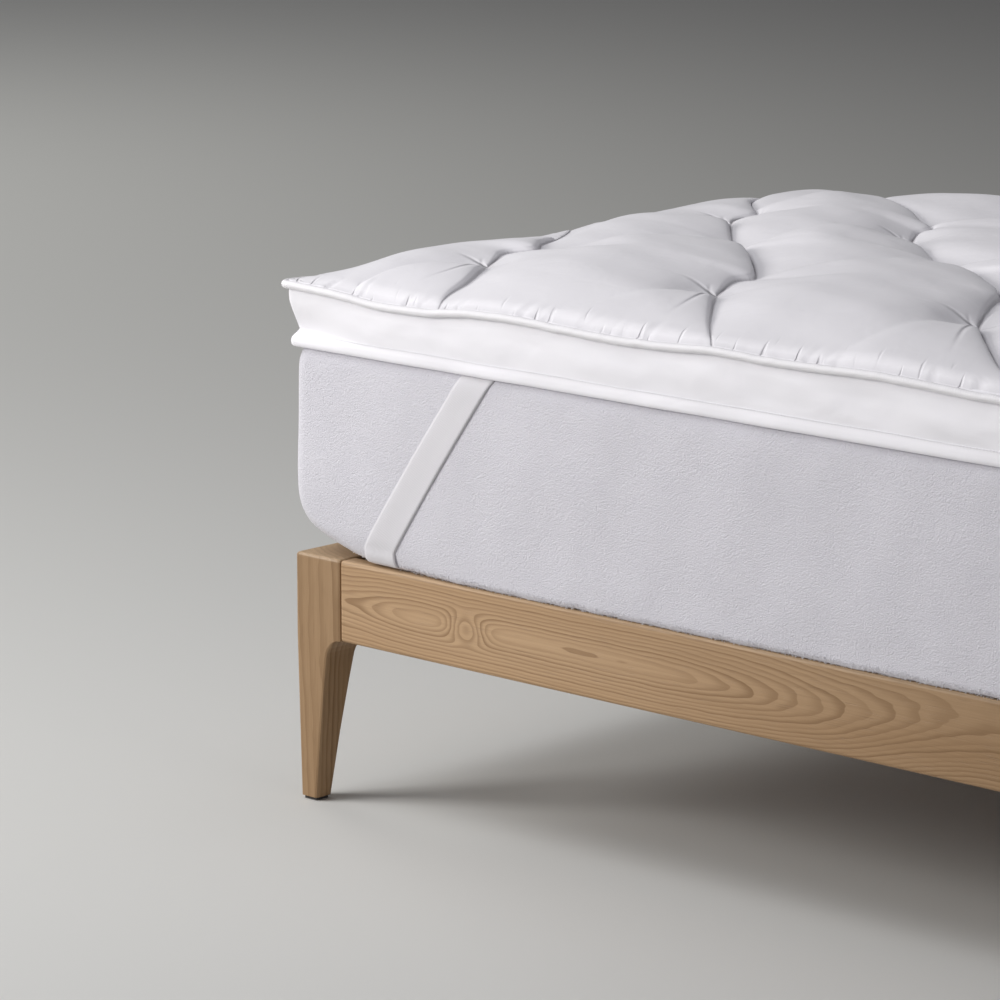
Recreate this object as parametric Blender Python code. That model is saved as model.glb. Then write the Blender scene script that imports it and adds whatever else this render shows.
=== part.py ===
"""Quilted mattress topper held by corner straps on a mattress and a wooden bed.

Metres, +Z up. X runs along the bed, Y across it, and the origin is on the floor under the
middle of the bed. Every piece is one closed solid with its own material.
"""
import math

import bmesh
import bpy

# ---------------------------------------------------------------- driving sizes
CLEARANCE = 0.0003           # kept between pieces that touch

BED_LENGTH = 2.0             # outside of the frame, and the nominal size of the mattress
BED_WIDTH = 0.9
FRAME_TOP = 0.298            # top of the rails and posts
RAIL_HEIGHT = 0.097
RAIL_THICK = 0.026
RAIL_ROUNDING = 0.004
POST_WIDTH = 0.072
POST_ROUNDING = 0.003
COVE_HEIGHT = 0.024          # quick curve under the rail, where the leg starts to taper
COVE_DEPTH = 0.020
FOOT_WIDTH = 0.028
POST_LEAN = 0.003            # the outer faces step in this much from rail to foot
PAD_THICK = 0.004
PAD_INSET = 0.003
JOINT_GAP = 0.0004           # between a post and the end of a rail

SLAT_COUNT = 13
SLAT_WIDTH = 0.070
SLAT_THICK = 0.012
SLAT_RISE = 0.003            # slats stand this much above the rails
FIRST_SLAT = 0.155           # outer edge of the first slat, from the end of the bed
LEDGER_WIDTH = 0.025
LEDGER_HEIGHT = 0.030
LEDGER_END = 0.085           # from the end of the bed

MATTRESS_THICK = 0.2425
MATTRESS_BULGE = 0.006       # sides stand out this much at mid-height
MATTRESS_CORNER = 0.028      # plan radius of an upright corner
CORNER_SPREAD = 0.16         # that radius grows by this much towards the bottom
SPREAD_HEIGHT = 0.085
MATTRESS_EDGE = 0.009        # rounding of the bottom edge
MATTRESS_TOP_EDGE = 0.018
MATTRESS_CORNER_STEPS = 8

GUSSET_HEIGHT = 0.068        # topper underside to the middle of the piping
EDGE_OVERHANG = 0.0052       # rim behind the piping, out from the nominal size
PIPING_RADIUS = 0.0045
PIPING_OVERHANG = 0.0095     # centre line of the piping, out from the nominal size
TOPPER_CORNER = 0.017        # plan radius of the topper's corners
CORNER_LIFT = 0.004          # the corners of the top edge stand up and out a little
CORNER_REACH = 0.055
EDGE_WAVE = 0.004            # the top edge dips where seams meet it

NODE_X = -0.835              # one crossing of the quilting seams
NODE_Y = -0.3225
STEP_X = 0.178               # half of a quilted diamond, along and across the bed
STEP_Y = 0.215
CELLS = 6                    # mesh cells in a half diamond
SWAY = 0.022                 # slow sideways drift of the pattern
SWAY_LENGTH = 1.3
RIPPLE = 0.010               # one family of seams winds from crossing to crossing
NODE_RISE = 0.024            # seam crossings above the middle of the piping
SEAM_RISE = 0.008            # seams between crossings lie this much higher
PUFF_RISE = 0.025            # puffs above the seams
CROWN = 0.004                # slow rise towards the middle of the bed
END_SHOULDER = 0.20          # the top comes down to its edge over this distance
SIDE_SHOULDER = 0.12
SIDE_RELIEF = 0.06           # the puffs themselves start this near the long sides
SHOULDER_LIP = 0.32          # share of the rise in the first fifth of a shoulder

STRAP_WIDTH = 0.050          # measured level; about 41 mm square across the band
STRAP_THICK = 0.0012
STRAP_TOP = 0.2950           # middle of the strap under the topper, from the corner
STRAP_FOOT = 0.1250          # middle of the strap at the bottom edge, from the corner
STRAP_STANDOFF = 0.0072      # inner face, out from the nominal size
STRAP_BEND = 0.018
STRAP_UNDER = 0.0009         # below the mattress

# ---------------------------------------------------------------- derived sizes
HALF_LENGTH = BED_LENGTH / 2
HALF_WIDTH = BED_WIDTH / 2
SLAT_TOP = FRAME_TOP + SLAT_RISE
RAIL_BOTTOM = FRAME_TOP - RAIL_HEIGHT
MATTRESS_BOTTOM = SLAT_TOP + CLEARANCE
MATTRESS_TOP = MATTRESS_BOTTOM + MATTRESS_THICK
TOPPER_BOTTOM = MATTRESS_TOP + CLEARANCE
PIPING_Z = TOPPER_BOTTOM + GUSSET_HEIGHT


# ---------------------------------------------------------------- shared helpers
def clear_scene():
    for thing in list(bpy.data.objects):
        bpy.data.objects.remove(thing, do_unlink=True)


def make_material(name, colour, roughness, metallic=0.0):
    material = bpy.data.materials.new(name)
    material.use_nodes = True
    shader = material.node_tree.nodes["Principled BSDF"]
    shader.inputs["Base Color"].default_value = (*colour, 1.0)
    shader.inputs["Roughness"].default_value = roughness
    shader.inputs["Metallic"].default_value = metallic
    material.diffuse_color = (*colour, 1.0)
    return material


def add_object(name, mesh, material):
    mesh.materials.append(material)
    thing = bpy.data.objects.new(name, mesh)
    bpy.context.scene.collection.objects.link(thing)
    return thing


def skin(name, rings, material, smooth=True, closed=False):
    """Closed solid through rings of equally many points: capped ends, or a loop if closed."""
    shape = bmesh.new()
    loops = [[shape.verts.new(point) for point in ring] for ring in rings]
    pairs = list(zip(loops, loops[1:]))
    if closed:
        pairs.append((loops[-1], loops[0]))
    count = len(rings[0])
    for low, high in pairs:
        for k in range(count):
            after = (k + 1) % count
            shape.faces.new((low[k], low[after], high[after], high[k]))
    if not closed:
        shape.faces.new(list(reversed(loops[0])))
        shape.faces.new(loops[-1])
    return finish_shape(name, shape, material, smooth)


def finish_shape(name, shape, material, smooth=True):
    """Turn a bmesh into an object whose faces point out."""
    bmesh.ops.recalc_face_normals(shape, faces=shape.faces)
    mesh = bpy.data.meshes.new(name)
    shape.to_mesh(mesh)
    shape.free()
    if smooth:
        mesh.shade_smooth()
        mesh.set_sharp_from_angle(angle=math.radians(40))
    return add_object(name, mesh, material)


def add_block(name, low, high, material, rounding=0.0, segments=2):
    """Box between two opposite corners, its edges rounded by a bevel."""
    shape = bmesh.new()
    bmesh.ops.create_cube(shape, size=1.0)
    for vert in shape.verts:
        for axis in range(3):
            vert.co[axis] = low[axis] if vert.co[axis] < 0 else high[axis]
    if rounding:
        bmesh.ops.bevel(shape, geom=shape.edges[:], offset=rounding, segments=segments,
                        profile=0.5, affect="EDGES")
    return finish_shape(name, shape, material)


def smooth_step(value):
    value = min(max(value, 0.0), 1.0)
    return value * value * (3 - 2 * value)


def rounded_rectangle(half_x, half_y, radius, steps):
    """Points of a rectangle with round corners, anticlockwise from the +X side."""
    points = []
    for turn, (sign_x, sign_y) in enumerate(((1, 1), (-1, 1), (-1, -1), (1, -1))):
        for k in range(steps + 1):
            angle = math.pi / 2 * (turn + k / steps)
            points.append((sign_x * (half_x - radius) + radius * math.cos(angle),
                           sign_y * (half_y - radius) + radius * math.sin(angle)))
    return points


# ---------------------------------------------------------------- bed frame
def post_width_at(height):
    """Width of a square post: full beside the rail, a quick cove under it, then a taper."""
    if height >= RAIL_BOTTOM:
        return POST_WIDTH
    below = RAIL_BOTTOM - height
    cove = math.sqrt(1 - (1 - min(below / COVE_HEIGHT, 1.0)) ** 2)
    top_of_taper = POST_WIDTH - COVE_DEPTH
    share = smooth_ease(below / (RAIL_BOTTOM - PAD_THICK))
    return POST_WIDTH - COVE_DEPTH * cove - (top_of_taper - FOOT_WIDTH) * share


def smooth_ease(value):
    """Nearly straight run from 0 to 1 that starts a little faster."""
    return value + 0.18 * value * (1 - value)


def post_ring(width, height, inset):
    """Square of a post in corner distances, its four upright edges rounded."""
    lean = POST_LEAN * max(1 - height / RAIL_BOTTOM, 0.0)
    half = (width - lean) / 2
    ring = []
    for point in rounded_rectangle(half - inset, half - inset, POST_ROUNDING, 2):
        ring.append((point[0] + lean + half, point[1] + lean + half, height))
    return ring


def add_post(name, sign_x, sign_y, material):
    cove_levels = [RAIL_BOTTOM - COVE_HEIGHT * part for part in (0.02, 0.1, 0.25, 0.5, 0.75, 1.0)]
    taper_levels = [RAIL_BOTTOM - part * (RAIL_BOTTOM - PAD_THICK) for part in (0.3, 0.6, 1.0)]
    levels = [RAIL_BOTTOM] + cove_levels + taper_levels
    rings = [post_ring(POST_WIDTH, FRAME_TOP, POST_ROUNDING),
             post_ring(POST_WIDTH, FRAME_TOP - POST_ROUNDING * 0.3, POST_ROUNDING * 0.3),
             post_ring(POST_WIDTH, FRAME_TOP - POST_ROUNDING, 0.0)]
    rings += [post_ring(post_width_at(level), level, 0.0) for level in levels]
    placed = [[from_corner(sign_x, sign_y, *point) for point in ring] for ring in rings]
    return skin(name, placed, material)


def from_corner(sign_x, sign_y, along, across, height):
    """World point from distances in from one corner of the bed."""
    return (sign_x * (HALF_LENGTH - along), sign_y * (HALF_WIDTH - across), height)


def add_foot_pad(name, sign_x, sign_y, material):
    near = POST_LEAN + PAD_INSET
    low = from_corner(sign_x, sign_y, near, near, 0.0)
    far = FOOT_WIDTH - PAD_INSET
    high = from_corner(sign_x, sign_y, far, far, PAD_THICK - CLEARANCE)
    corners = list(zip(low, high))
    return add_block(name, [min(pair) for pair in corners], [max(pair) for pair in corners],
                     material)


def add_frame(wood, felt):
    for end, sign_x in (("foot", -1), ("head", 1)):
        for side, sign_y in (("front", -1), ("back", 1)):
            add_post(f"post_{end}_{side}", sign_x, sign_y, wood)
            add_foot_pad(f"foot_pad_{end}_{side}", sign_x, sign_y, felt)
    reach = HALF_LENGTH - POST_WIDTH - JOINT_GAP
    for side, sign_y in (("front", -1), ("back", 1)):
        faces = sorted((sign_y * HALF_WIDTH, sign_y * (HALF_WIDTH - RAIL_THICK)))
        add_block(f"side_rail_{side}", (-reach, faces[0], RAIL_BOTTOM),
                  (reach, faces[1], FRAME_TOP), wood, RAIL_ROUNDING, 3)
    reach = HALF_WIDTH - POST_WIDTH - JOINT_GAP
    for end, sign_x in (("foot", -1), ("head", 1)):
        faces = sorted((sign_x * HALF_LENGTH, sign_x * (HALF_LENGTH - RAIL_THICK)))
        add_block(f"end_rail_{end}", (faces[0], -reach, RAIL_BOTTOM),
                  (faces[1], reach, FRAME_TOP), wood, RAIL_ROUNDING, 3)


def add_slats(wood):
    """Ledgers inside the side rails, and the slats that lie on them."""
    inside = HALF_WIDTH - RAIL_THICK - CLEARANCE
    ledger_top = SLAT_TOP - SLAT_THICK - CLEARANCE
    ledger_reach = HALF_LENGTH - LEDGER_END
    for side, sign_y in (("front", -1), ("back", 1)):
        faces = sorted((sign_y * inside, sign_y * (inside - LEDGER_WIDTH)))
        add_block(f"ledger_{side}", (-ledger_reach, faces[0], ledger_top - LEDGER_HEIGHT),
                  (ledger_reach, faces[1], ledger_top), wood)
    first = -HALF_LENGTH + FIRST_SLAT
    pitch = (-2 * first - SLAT_WIDTH) / (SLAT_COUNT - 1)
    for k in range(SLAT_COUNT):
        left = first + k * pitch
        add_block(f"slat_{k + 1:02d}", (left, -inside, SLAT_TOP - SLAT_THICK),
                  (left + SLAT_WIDTH, inside, SLAT_TOP), wood, 0.002, 1)


# ---------------------------------------------------------------- mattress
def mattress_level(share):
    """Height, side offset and corner radius at a share of the way up the mattress."""
    height = share * MATTRESS_THICK
    offset = MATTRESS_BULGE * math.sqrt(math.sin(math.pi * (0.06 + 0.84 * share)))
    low = max(1 - height / MATTRESS_EDGE, 0.0)
    offset -= MATTRESS_EDGE * (1 - math.sqrt(1 - low * low))
    high = max(1 - (MATTRESS_THICK - height) / MATTRESS_TOP_EDGE, 0.0)
    offset -= MATTRESS_TOP_EDGE * (1 - math.sqrt(1 - high * high))
    radius = MATTRESS_CORNER + CORNER_SPREAD * max(1 - height / SPREAD_HEIGHT, 0.0) ** 3
    return MATTRESS_BOTTOM + height, offset, radius


def add_mattress(material):
    shares = (0.0, 0.006, 0.02, 0.05, 0.10, 0.17, 0.25, 0.45, 0.70, 0.90, 0.96, 0.99, 1.0)
    rings = []
    for share in shares:
        height, offset, radius = mattress_level(share)
        outline = rounded_rectangle(HALF_LENGTH + offset, HALF_WIDTH + offset, radius,
                                    MATTRESS_CORNER_STEPS)
        rings.append([(x, y, height) for x, y in outline])
    return skin("mattress", rings, material)


# ---------------------------------------------------------------- topper
def lattice_lines(node, step, half):
    """Mesh lines that pass through the seam crossings, and the two edges."""
    cell = step / CELLS
    first = math.ceil((-half - node) / cell + 0.4)
    last = math.floor((half - node) / cell - 0.4)
    return [-half] + [node + k * cell for k in range(first, last + 1)] + [half]


def edge_height(x, y):
    """Height of the piping's centre line beside a point: it waves, and corners stand up."""
    to_end = HALF_LENGTH - abs(x)
    to_side = HALF_WIDTH - abs(y)
    across = math.cos(2 * math.pi * (x - NODE_X - 0.45 * STEP_X) / (2 * STEP_X))
    along = math.cos(2 * math.pi * (y - NODE_Y - 0.45 * STEP_Y) / (2 * STEP_Y))
    fade_x = smooth_step(to_end / 0.16)
    fade_y = smooth_step(to_side / 0.16)
    nearness = math.exp(-(to_end * to_end + to_side * to_side) / CORNER_REACH ** 2)
    wave = across * fade_x * (1 - fade_y) + along * fade_y * (1 - fade_x)
    return PIPING_Z - EDGE_WAVE * wave + CORNER_LIFT * nearness


def pattern_shift(x, y):
    """Slow drift of the pattern and the winding of one seam family, none at the edges."""
    inside = shoulder(x, y)
    sway = SWAY * math.cos(2 * math.pi * (x + y + 1.0) / SWAY_LENGTH)
    wind = -RIPPLE * math.cos(math.pi * (y - NODE_Y) / STEP_Y)
    return (sway + wind) * inside, wind * inside


def shoulder_profile(inward):
    """0 at an edge: a quick round lip, then a slow rise to 1."""
    lip = 1 - min(5 * max(inward, 0.0), 1.0)
    return SHOULDER_LIP * math.sqrt(1 - lip * lip) + (1 - SHOULDER_LIP) * smooth_step(inward)


def shoulder(x, y, side=SIDE_SHOULDER):
    """0 at the topper's edge and 1 where its rounded shoulders end."""
    along = shoulder_profile((HALF_LENGTH - abs(x)) / END_SHOULDER)
    across = shoulder_profile((HALF_WIDTH - abs(y)) / side)
    if along * across == 0.0:
        return 0.0
    return along * across / (along + across - along * across)


def top_height(x, y):
    """Height of the quilted top over a point of the undrifted pattern."""
    column = (x - NODE_X) / STEP_X
    row = (y - NODE_Y) / STEP_Y
    first = math.pi * (column + row) / 2
    second = math.pi * (column - row) / 2
    puff = abs(math.sin(first) * math.sin(second)) ** 0.42
    between = 1 - (math.cos(first) * math.cos(second)) ** 2
    crown = (1 - (x / HALF_LENGTH) ** 2) * (1 - (y / HALF_WIDTH) ** 2)
    base = (NODE_RISE - PIPING_RADIUS) * shoulder(x, y) + CROWN * crown
    relief = (SEAM_RISE * between + PUFF_RISE * puff) * shoulder(x, y, SIDE_RELIEF)
    return edge_height(x, y) + PIPING_RADIUS + base + relief


def gusset_profile():
    """Side of the topper from its underside to behind the piping: out, up, share of wave."""
    return ((-0.0040, 0.0000, 0.0), (0.0070, 0.0006, 0.0), (0.0110, 0.0035, 0.0),
            (0.0095, 0.0090, 0.1), (0.0035, 0.0170, 0.2), (0.0045, 0.0350, 0.5),
            (0.0068, 0.0530, 0.8), (0.0065, 0.0610, 1.0), (EDGE_OVERHANG, 0.0630, 1.0),
            (EDGE_OVERHANG, GUSSET_HEIGHT + PIPING_RADIUS, 1.0))


def edge_points(lines_x, lines_y, out):
    """One ring around the topper on the mesh lines, its four corner points drawn in."""
    half_x = HALF_LENGTH + out
    half_y = HALF_WIDTH + out
    cut = TOPPER_CORNER * (1 - math.sqrt(0.5))
    inner_x = lines_x[1:-1]
    inner_y = lines_y[1:-1]
    ring = [(-half_x + cut, -half_y + cut)] + [(x, -half_y) for x in inner_x]
    ring += [(half_x - cut, -half_y + cut)] + [(half_x, y) for y in inner_y]
    ring += [(half_x - cut, half_y - cut)] + [(x, half_y) for x in reversed(inner_x)]
    ring += [(-half_x + cut, half_y - cut)] + [(-half_x, y) for y in reversed(inner_y)]
    return ring


def seam_runs_up(x, y):
    """True where the seam in this half diamond goes from low x, low y to high x, high y."""
    column = math.floor((x - NODE_X) / STEP_X)
    row = math.floor((y - NODE_Y) / STEP_Y)
    return (column + row) % 2 == 0


def add_topper(material):
    lines_x = lattice_lines(NODE_X, STEP_X, HALF_LENGTH + EDGE_OVERHANG)
    lines_y = lattice_lines(NODE_Y, STEP_Y, HALF_WIDTH + EDGE_OVERHANG)
    shape = bmesh.new()
    rings = []
    for out, up, wave in gusset_profile():
        ring = []
        for x, y in edge_points(lines_x, lines_y, out):
            lift = (edge_height(x, y) - PIPING_Z) * wave
            ring.append(shape.verts.new((x, y, TOPPER_BOTTOM + up + lift)))
        rings.append(ring)
    count = len(rings[0])
    for low, high in zip(rings, rings[1:]):
        for k in range(count):
            after = (k + 1) % count
            shape.faces.new((low[k], low[after], high[after], high[k]))
    shape.faces.new(list(reversed(rings[0])))
    add_quilted_top(shape, rings[-1], lines_x, lines_y)
    return finish_shape("topper", shape, material)


def add_quilted_top(shape, rim, lines_x, lines_y):
    """Grid of the top whose edge is the rim, each cell split along its seam's direction."""
    last_x = len(lines_x) - 1
    last_y = len(lines_y) - 1
    grid = {}
    for k in range(last_x):
        grid[k, 0] = rim[k]
        grid[last_x - k, last_y] = rim[last_x + last_y + k]
    for k in range(last_y):
        grid[last_x, k] = rim[last_x + k]
        grid[0, last_y - k] = rim[2 * last_x + last_y + k]
    for column in range(1, last_x):
        for row in range(1, last_y):
            x, y = lines_x[column], lines_y[row]
            shift_x, shift_y = pattern_shift(x, y)
            grid[column, row] = shape.verts.new((x + shift_x, y + shift_y, top_height(x, y)))
    for column in range(last_x):
        for row in range(last_y):
            low_left, low_right = grid[column, row], grid[column + 1, row]
            high_right, high_left = grid[column + 1, row + 1], grid[column, row + 1]
            middle_x = (lines_x[column] + lines_x[column + 1]) / 2
            middle_y = (lines_y[row] + lines_y[row + 1]) / 2
            if seam_runs_up(middle_x, middle_y):
                shape.faces.new((low_left, low_right, high_right))
                shape.faces.new((low_left, high_right, high_left))
            else:
                shape.faces.new((low_left, low_right, high_left))
                shape.faces.new((low_right, high_right, high_left))


def piping_path():
    """Centre line of the piping: straight sides, small round corners that stand out."""
    half_x = HALF_LENGTH + PIPING_OVERHANG
    half_y = HALF_WIDTH + PIPING_OVERHANG
    corners = rounded_rectangle(half_x, half_y, TOPPER_CORNER, 4)
    path = []
    for k, (x, y) in enumerate(corners):
        path.append((x, y))
        if k % 5 == 4:
            next_x, next_y = corners[(k + 1) % len(corners)]
            pieces = round(math.hypot(next_x - x, next_y - y) / 0.06)
            for step in range(1, pieces):
                share = step / pieces
                path.append((x + (next_x - x) * share, y + (next_y - y) * share))
    return path


def add_piping(material):
    path = piping_path()
    sides = 6
    rings = []
    for k, (x, y) in enumerate(path):
        before, after = path[k - 1], path[(k + 1) % len(path)]
        run_x, run_y = after[0] - before[0], after[1] - before[1]
        size = math.hypot(run_x, run_y)
        out_x, out_y = run_y / size, -run_x / size
        height = edge_height(x, y)
        ring = []
        for side in range(sides):
            angle = 2 * math.pi * (side + 0.5) / sides
            out = PIPING_RADIUS * math.cos(angle)
            ring.append((x + out_x * out, y + out_y * out,
                         height + PIPING_RADIUS * math.sin(angle)))
        rings.append(ring)
    return skin("piping", rings, material, closed=True)


# ---------------------------------------------------------------- corner straps
def strap_route():
    """Half of a strap: rungs as near end, far end and sheet normal in corner distances.

    The strap hangs from under the topper, slants down towards the corner, bends round the
    bottom edge of the mattress and runs under it to the diagonal of the corner.
    """
    half = STRAP_WIDTH / 2
    face = -(STRAP_STANDOFF + STRAP_THICK / 2)
    under = MATTRESS_BOTTOM - STRAP_UNDER - STRAP_THICK / 2
    top = TOPPER_BOTTOM - CLEARANCE
    bend_top = under + STRAP_BEND
    lean = (STRAP_TOP - STRAP_FOOT) / (top - bend_top)
    stations = []
    for height in (top, top - 0.08, top - 0.16, bend_top):
        stations.append((STRAP_FOOT + lean * (height - bend_top), face, height, (-1.0, 0.0)))
    for k in range(1, 5):
        angle = math.pi / 2 * k / 4
        stations.append((STRAP_FOOT, face + STRAP_BEND * (1 - math.cos(angle)),
                         bend_top - STRAP_BEND * math.sin(angle),
                         (-math.cos(angle), -math.sin(angle))))
    rungs = []
    for middle, depth, height, (outward, upward) in stations:
        rungs.append(((middle - half, depth, height), (middle + half, depth, height),
                      (0.0, outward, upward)))
    return rungs


def strap_rungs():
    """All rungs of a strap: one half, and the same half with the two directions swapped."""
    half = strap_route()
    other = []
    for near, far, normal in reversed(half):
        other.append(((near[1], near[0], near[2]), (far[1], far[0], far[2]),
                      (normal[1], normal[0], normal[2])))
    return half + other


def add_strap(name, sign_x, sign_y, material):
    rings = []
    for near, far, normal in strap_rungs():
        ring = []
        for end, side in ((near, 1), (far, 1), (far, -1), (near, -1)):
            point = [end[axis] + side * STRAP_THICK / 2 * normal[axis] for axis in range(3)]
            ring.append(from_corner(sign_x, sign_y, *point))
        rings.append(ring)
    return skin(name, rings, material, smooth=False)


def add_straps(material):
    for end, sign_x in (("foot", -1), ("head", 1)):
        for side, sign_y in (("front", -1), ("back", 1)):
            add_strap(f"strap_{end}_{side}", sign_x, sign_y, material)


# ---------------------------------------------------------------- build
def build():
    clear_scene()
    wood = make_material("ash wood", (0.55, 0.38, 0.22), 0.5)
    felt = make_material("dark felt", (0.05, 0.045, 0.04), 0.9)
    terry = make_material("terry cloth", (0.66, 0.66, 0.73), 0.95)
    cotton = make_material("white cotton", (0.86, 0.86, 0.88), 0.75)
    cord = make_material("piping cloth", (0.88, 0.88, 0.90), 0.7)
    elastic = make_material("woven elastic", (0.78, 0.77, 0.77), 0.6)
    add_frame(wood, felt)
    add_slats(wood)
    add_mattress(terry)
    add_topper(cotton)
    add_piping(cord)
    add_straps(elastic)


build()
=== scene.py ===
import math

import bpy
import numpy as np
from mathutils import Matrix


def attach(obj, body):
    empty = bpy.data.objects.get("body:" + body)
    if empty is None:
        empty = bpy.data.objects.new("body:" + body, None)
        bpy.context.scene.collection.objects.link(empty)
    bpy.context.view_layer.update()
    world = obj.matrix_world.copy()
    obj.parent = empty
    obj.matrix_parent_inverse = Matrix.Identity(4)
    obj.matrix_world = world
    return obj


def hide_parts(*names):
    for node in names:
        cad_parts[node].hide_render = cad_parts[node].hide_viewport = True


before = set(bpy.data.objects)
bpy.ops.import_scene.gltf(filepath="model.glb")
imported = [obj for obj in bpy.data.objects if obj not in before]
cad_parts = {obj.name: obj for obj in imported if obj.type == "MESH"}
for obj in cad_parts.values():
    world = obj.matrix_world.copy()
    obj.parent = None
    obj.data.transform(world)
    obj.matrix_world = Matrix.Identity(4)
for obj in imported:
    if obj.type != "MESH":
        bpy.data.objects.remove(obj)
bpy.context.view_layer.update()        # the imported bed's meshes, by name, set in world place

# ---------------------------------------------------------------- sizes, in metres
HALF_LENGTH = 1.0            # of the bed, the mattress and the topper's side, as in the solids
HALF_WIDTH = 0.45

MATTRESS_BOTTOM = 0.3013
MATTRESS_THICK = 0.2425
MATTRESS_BULGE = 0.006
MATTRESS_CORNER = 0.028
CORNER_SPREAD = 0.13         # the corners' round grows by this much at the mattress's foot
SPREAD_HEIGHT = 0.085        # and ends at this height
MATTRESS_EDGE = 0.009
TUCK = 0.036                 # round of the cover's lower edge at the corners
TUCK_REACH = 0.165           # and how far from a corner it reaches
TOP_EDGE_REACH = 0.030       # the cover draws in by TOP_EDGE_DRAW over this much of its top
TOP_EDGE_DRAW = 0.006
RAIL_SINK = 0.0031           # the cover's lower edge settles this much, onto the rails
UNDER_INSET = 0.02           # the cover is closed under the mattress this far in
PILE_HEIGHT = 0.009          # the loops that stand out lie up to this far up the cover

TOPPER_BOTTOM = 0.5441
PIPING_Z = 0.6121
PIPING_RADIUS = 0.0045       # of the solid cord, which the quilted top's edge lies on
CORD_RADIUS = 0.0047         # of the cord in its cloth
CORD_SIDES = 14
PIPING_OVERHANG = 0.0095     # the cord's line stands this far out of the side
RIM_OUT = 0.0052             # edge of the quilted top, behind the piping
TOPPER_CORNER = 0.0095       # round of the cord's line at the corners
CORNER_LIFT = 0.0025         # the cord stands up this much at a corner
CORNER_REACH = 0.055
WAVE_STEP = 0.072            # metres between the heights in PIPING_WAVE
WAVE_FADE = 0.16             # the waves die out over this much before a corner
PIPING_WAVE = np.array((0.0010, -0.0012, -0.0060, -0.0050, 0.0020, 0.0034, 0.0008, -0.0010,
                        0.0004, 0.0044, 0.0026, 0.0034, 0.0054, 0.0036, 0.0010))

# the gusset's profile from behind the piping to under the hem: its height above the topper's
# underside, how far it stands out along the sides and at the corners, and how much of the
# piping's wave it follows
GUSSET_UP = np.array((0.0695, 0.0640, 0.0590, 0.0500, 0.0400, 0.0300, 0.0225, 0.0180, 0.0146,
                      0.0112, 0.0075, 0.0035, 0.0002, -0.0020, -0.0026, -0.0012, 0.0004))
SIDE_OUT = np.array((0.0052, 0.0064, 0.0070, 0.0078, 0.0078, 0.0070, 0.0062, 0.0056, 0.0052,
                     0.0053, 0.0057, 0.0058, 0.0051, 0.0032, 0.0, -0.0030, -0.012))
CORNER_OUT = np.array((0.0052, 0.0064, 0.0070, 0.0062, 0.0036, -0.0006, -0.0036, -0.0046,
                       -0.0030, 0.0012, 0.0046, 0.0056, 0.0050, 0.0030, 0.0, -0.0030, -0.012))
GUSSET_WAVE = np.array((1.0, 1.0, 1.0, 0.8, 0.6, 0.35, 0.2, 0.15, 0.1, 0.1, 0.0, 0.0, 0.0, 0.0,
                        0.0, 0.0, 0.0))
GUSSET_ROUND = 0.004         # the gusset's corners are rounder than the cord's by this much
PINCH_REACH = 0.07           # how far CORNER_OUT holds round a corner
TOPSTITCH = 8                # the profile's place that the topstitching runs along
THREAD_SHARE = 0.62          # how much of a stitch's step its thread shows
THREAD_THICK = 0.00055

# the quilting: a crossing of its seams, the steps between crossings, and heights
NODE_X = -0.835
NODE_Y = -0.3225
STEP_X = 0.178
STEP_Y = 0.215
CELLS = 43                   # mesh cells in half a quilted diamond
# rows and columns of the pattern at the topper's edges
ROW_LOW = -(HALF_WIDTH + RIM_OUT + NODE_Y) / STEP_Y
ROW_HIGH = (HALF_WIDTH + RIM_OUT - NODE_Y) / STEP_Y
COLUMN_LOW = -1.48
COLUMN_HIGH = 10.31
NODE_RISE = 0.024            # a crossing lies this far over the cord's line
SEAM_RISE = 0.005            # a seam rises this much between crossings
PUFF_RISE = 0.023
CROWN = 0.004                # the middle of the topper stands this much higher
SEAM_PITCH = 0.0872          # from a seam to the next, divided by pi
SEAM_GROOVE = 0.0013         # half width of the groove that the sewing draws
CROSS_GROOVE = 0.0016        # the same for the seams to the right
STITCH_PITCH = 0.0032        # from a stitch to the next, measured across the topper
SKIRT = 0.012                # the top is closed this far under its edge

# gathers that run in from the cord: how many along a side and along an end, and their depth
SIDE_GATHERS = 85
END_GATHERS = 38
GATHER_DEPTH = 0.0027
GATHER_DRIFT = 0.010         # a gather's place is moved by up to this much
GATHER_ZONE = 0.06           # they are worked out this far in

TIP_LIFT = 0.42              # rows that a seam to the right starts beyond its tuft
PUFF_PEAK = 0.92             # share of a puff's way up the picture at which it is fullest
# depth of the seams that run to the right, as a share of the puffs: across the topper for the
# panel before the first seam, the next two, and all others
ACROSS_DEPTH = (((-0.46, 0.9), (-0.2, 0.8), (0.46, 0.5)),
                ((-0.38, 0.10), (-0.27, 0.60), (0.0, 0.66), (0.46, 0.60)),
                ((-0.38, 0.10), (-0.27, 0.20), (0.0, 0.28), (0.14, 0.5), (0.46, 0.55)),
                ((-0.38, 0.15), (-0.27, 0.28), (0.0, 0.32), (0.14, 0.45), (0.46, 0.45)))
TUFT_DEPTH = 0.85            # the same beside the other seams, where the tufts pull them down
EDGE_DEPTH = 0.35            # share of what is left that it gains at the long edges
FLANK_FRONT = 0.95           # how slowly a puff's left flank rises, by the front edge
FLANK_FAR = 0.50             # and at the far side
FLANK_RIGHT = 0.28           # the same for its right flank, which falls steeply to the seam
LOOSE_SEAM = 4               # the seam that is sewn less deep at its far end
LOOSE = 0.45
TUFT_DIMPLE = 0.015          # how far the puffs are pulled down round a tuft
DIMPLE_REACH = 0.030
DIMPLE_ASIDE = 0.012         # the pull is greatest this far to the left of the tuft
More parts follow.
